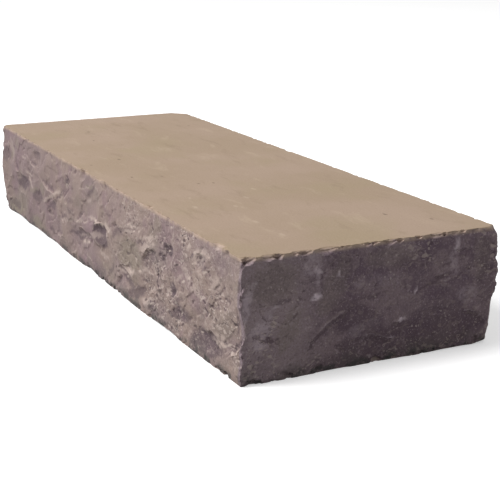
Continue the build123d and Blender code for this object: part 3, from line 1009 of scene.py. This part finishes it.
def edged_colour(net, place, z, colour):
    """Lays chisel streaks and a worn arris below the tread, and patches that darken towards the foot."""
    streak = net.noise(net.stretched(place, SCORE_DRAWN), *SCORE_CLOUD)
    struck = net.some(net.stretched(place, UPRIGHT_ONLY), SCORED) * net.ramp(z, SCORED_RISE)
    colour = net.lay(colour, streak, STREAK_LIGHT, where=struck)
    colour = net.lay(colour, streak, STREAK_DARK, where=struck)
    colour = net.lay(colour, z, WORN_ARRIS, where=net.some(place, ARRIS))
    colour = net.lay(colour, z, FOOT_DARKER, where=net.some(place, FOOT_DARKER_PLACES))
    return net.lay(colour, z, FOOT_DARKEST, where=net.some(place, FOOT_DARKEST_PLACES))


def pitched_colour(net, place):
    """The riser and the right-hand end, and the two sides that take after them."""
    x, y, z = net.split(place)
    bent = net.wander(net.wander(place, *STONE_BEND), *STONE_FRAY)
    crest, broad, pale, dark, green = [
        net.node("ShaderNodeAttribute", {"attribute_name": name}, out="Fac")
        for name in ("crest", "broad_crest", "pale", "dark", "green")
    ]
    on_end = net.ramp(x, ON_END)
    patches = (pale, dark, green)
    colour = net.mix(on_end, riser_colour(net, x, bent, *patches), end_colour(net, y, bent, *patches))
    # Painted shade in broad hollows, painted highlight on broad swells
    colour = net.lay(colour, broad, HOLLOW_SHADE)
    colour = net.lay(colour, broad, SWELL_HIGHLIGHT)
    near = net.ramp(x + NEAR_WAVER * net.noise(place, *NEAR_CLOUD), NEAR_BAND)
    # Fine crests paler in places, partly bruised stone and partly painted highlight; painted shade in fine
    # dips
    worn = net.some(place, CREST_WEAR_AND_LIGHT) * (1.0 - END_WHOLER * on_end)
    colour = net.lay(colour, crest, CREST_BRUISE_AND_HIGHLIGHT, near, worn, net.mix(on_end, CREST_BRUISE_AND_HIGHLIGHT.colour, END_CREST_BRUISE_AND_HIGHLIGHT))
    colour = net.lay(colour, crest, DIP_SHADE, near)
    rough = near * net.some(place, ROUGH_PAINT) * (1.0 - END_CALMER * on_end)
    colour = broken_colour(net, place, colour, rough, near, on_end)
    on_riser = net.ramp(y, ON_RISER)
    for spots, wash in ((RISER_CHIPS, BRIGHT_CHIP), (RISER_CRACKS, FINE_CRACK)):
        colour = net.wash(colour, riser_marks(net, place, spots) * on_riser, wash)
    dots = specks(net, net.wander(place, *DOT_BEND), *DOTS) * (DOT_LEAST + DOT_MORE * near)
    return edged_colour(net, place, z, net.mix(dots, colour, DOT_COLOUR))


# Where the tread's finish ends, how rough each finish is, and the grain that both are cut with
TREAD_WAVE_CLOUD = (160.0, 3.0)
TREAD_WAVE = 1.6 * MM
TREAD_RIM = (TREAD_Z - 1.4 * MM, TREAD_Z - 0.5 * MM)
PITCHED_ROUGHNESS = 0.92
TREAD_SMOOTHER = 0.14
FINE_CUT = (700.0, 4.0, 0.65)
FINE_CUT_SHARE = 0.25
COARSE_CUT = (240.0, 3.0, 0.6)
COARSE_CUT_SHARE = 0.6
TREAD_EVENER = 0.8
CUT_STRENGTH = 0.6
CUT_DEPTH = 1.2 * MM


def stone_finish():
    """Stone with a worn tan tread and purple-grey pitched faces."""
    material = bpy.data.materials.new("dressed_stone")
    material.use_nodes = True
    material.node_tree.nodes.clear()
    net = Paint(material.node_tree)
    place = net.node("ShaderNodeTexCoord", out="Object")
    wave = (net.noise(place, *TREAD_WAVE_CLOUD) - 0.5) * TREAD_WAVE
    tread = net.ramp(net.split(place)[2] + wave, TREAD_RIM)
    colour = net.mix(tread, pitched_colour(net, place), tread_colour(net, place))
    roughness = PITCHED_ROUGHNESS - TREAD_SMOOTHER * tread
    cut = net.noise(place, *FINE_CUT) * FINE_CUT_SHARE + net.noise(place, *COARSE_CUT) * COARSE_CUT_SHARE
    feeds = {"Strength": CUT_STRENGTH, "Distance": CUT_DEPTH, "Height": cut * (1.0 - TREAD_EVENER * tread)}
    feeds = {"Base Color": colour, "Roughness": roughness, "Normal": net.node("ShaderNodeBump", None, feeds)}
    net.end(net.node("ShaderNodeBsdfPrincipled", None, feeds))
    return material


def thin_out(piece, triangles):
    """Merges the flattest triangles until the piece has that many."""
    now = sum(len(face.vertices) - 2 for face in piece.data.polygons)
    modifier = piece.modifiers.new("thin", "DECIMATE")
    modifier.ratio = min(1.0, triangles / now)
    modifier.use_collapse_triangulate = True
    thinned = piece.evaluated_get(bpy.context.evaluated_depsgraph_get())
    mesh = bpy.data.meshes.new_from_object(thinned)
    piece.modifiers.remove(modifier)
    piece.data = mesh


def crease(piece, angle):
    """Smooths the shading, but not on the level tread and bed nor across edges that turn by more."""
    shell = bmesh.new()
    shell.from_mesh(piece.data)
    for face in shell.faces:
        face.smooth = abs(face.normal.z) < LEVEL
    for edge in shell.edges:
        edge.smooth = edge.calc_face_angle(0.0) < angle
    shell.to_mesh(piece.data)
    shell.free()


step = chisel_block()
thin_out(step, TRIANGLES)
crease(step, CREASE)
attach(step, "root")
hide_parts(STONE_NODE)

# The floor: half its width, how pale it is to the eye, how much light it throws back, and how much of its
# own white it shows
FLOOR_REACH = 6.0
FLOOR_PALE = 0.9
FLOOR_THROWS = 0.32
FLOOR_LIFT = 0.45
WHITE = (1.0, 1.0, 1.0, 1.0)

# The light: a round lamp, and a sky from its lower to its upper brightness over that rise
LAMP_WAY = Vector((-0.14, -0.62, 0.77)).normalized()
LAMP_REACH = 8.0
LAMP_SIZE = 3.4
LAMP_POWER = 540.0
SKY_TOP = 0.42
SKY_LEVEL = 0.21
SKY_RISE = (0.0, 0.9)

# The camera: where it stands, its right and its forward, and its focal length on a picture that wide
CAMERA_PLACE = (1.7175, -0.7718, 0.5385)
CAMERA_RIGHT = Vector((0.44333, 0.89635, 0.00342))
CAMERA_FORWARD = Vector((-0.86385, 0.42827, -0.26524)).normalized()
FOCAL_PIXELS = 1241.17
PICTURE_PIXELS = 500
SENSOR_WIDTH = 36.0
NEAREST_SEEN = 0.05


def seen_white(net):
    """1 for a ray from the eye, straight or by a gloss or a clear thing, and 0 for a ray of light."""
    rays = net.node("ShaderNodeLightPath", out=("Is Camera Ray", "Is Glossy Ray", "Is Transmission Ray"))
    return net.high(net.high(rays[0], rays[1]), rays[2])


def grey(level):
    return (level, level, level, 1.0)


def plain_floor():
    """A pale floor that looks white and throws back only a little light."""
    mesh = bpy.data.meshes.new("floor")
    corners = [(-FLOOR_REACH, -FLOOR_REACH, 0), (FLOOR_REACH, -FLOOR_REACH, 0)]
    corners = corners + [(FLOOR_REACH, FLOOR_REACH, 0), (-FLOOR_REACH, FLOOR_REACH, 0)]
    mesh.from_pydata(corners, [], [range(len(corners))])
    floor = bpy.data.objects.new("floor", mesh)
    bpy.context.scene.collection.objects.link(floor)
    material = bpy.data.materials.new("pale_floor")
    material.use_nodes = True
    material.node_tree.nodes.clear()
    net = Paint(material.node_tree)
    lit = net.node("ShaderNodeBsdfDiffuse", None, {"Color": grey(FLOOR_PALE)})
    lift = net.node("ShaderNodeEmission", None, {"Color": WHITE, "Strength": FLOOR_LIFT})
    shown = net.node("ShaderNodeAddShader", None, {0: lit, 1: lift})
    thrown = net.node("ShaderNodeBsdfDiffuse", None, {"Color": grey(FLOOR_THROWS)})
    net.end(net.node("ShaderNodeMixShader", None, {0: seen_white(net), 1: thrown, 2: shown}))
    mesh.materials.append(material)


def soft_light():
    """One broad lamp to the front left and above, and a pale surround that is brighter overhead."""
    world = bpy.data.worlds.new("pale_surround")
    bpy.context.scene.world = world
    world.use_nodes = True
    world.node_tree.nodes.clear()
    net = Net(world.node_tree)
    up = net.split(net.node("ShaderNodeTexCoord", out="Generated"))[2]
    strength = net.ramp(up, SKY_RISE, SKY_LEVEL, SKY_TOP)
    fill = net.node("ShaderNodeBackground", None, {"Color": WHITE, "Strength": strength})
    shown = net.node("ShaderNodeBackground", None, {"Color": WHITE, "Strength": 1.0})
    both = net.node("ShaderNodeMixShader", None, {0: seen_white(net), 1: fill, 2: shown})
    net.node("ShaderNodeOutputWorld", None, {"Surface": both})
    lamp = bpy.data.lights.new("key_lamp", "AREA")
    lamp.shape = "DISK"
    lamp.size = LAMP_SIZE
    lamp.energy = LAMP_POWER
    key = bpy.data.objects.new("key_lamp", lamp)
    bpy.context.scene.collection.objects.link(key)
    key.location = LAMP_WAY * LAMP_REACH
    key.rotation_euler = (-LAMP_WAY).to_track_quat("-Z", "Y").to_euler()


def set_camera():
    """The camera at the photograph's place: near the right-hand front corner, a little above the tread."""
    camera = bpy.data.cameras.new("camera")
    camera.sensor_width = SENSOR_WIDTH
    camera.lens = FOCAL_PIXELS / PICTURE_PIXELS * SENSOR_WIDTH
    camera.clip_start = NEAREST_SEEN
    holder = bpy.data.objects.new("camera", camera)
    bpy.context.scene.collection.objects.link(holder)
    up = CAMERA_RIGHT.cross(CAMERA_FORWARD).normalized()
    turn = Matrix((CAMERA_FORWARD.cross(up), up, -CAMERA_FORWARD)).transposed()
    holder.matrix_world = Matrix.Translation(CAMERA_PLACE) @ turn.to_4x4()
    bpy.context.scene.camera = holder


plain_floor()
soft_light()
set_camera()
bpy.context.scene.view_settings.view_transform = "Standard"
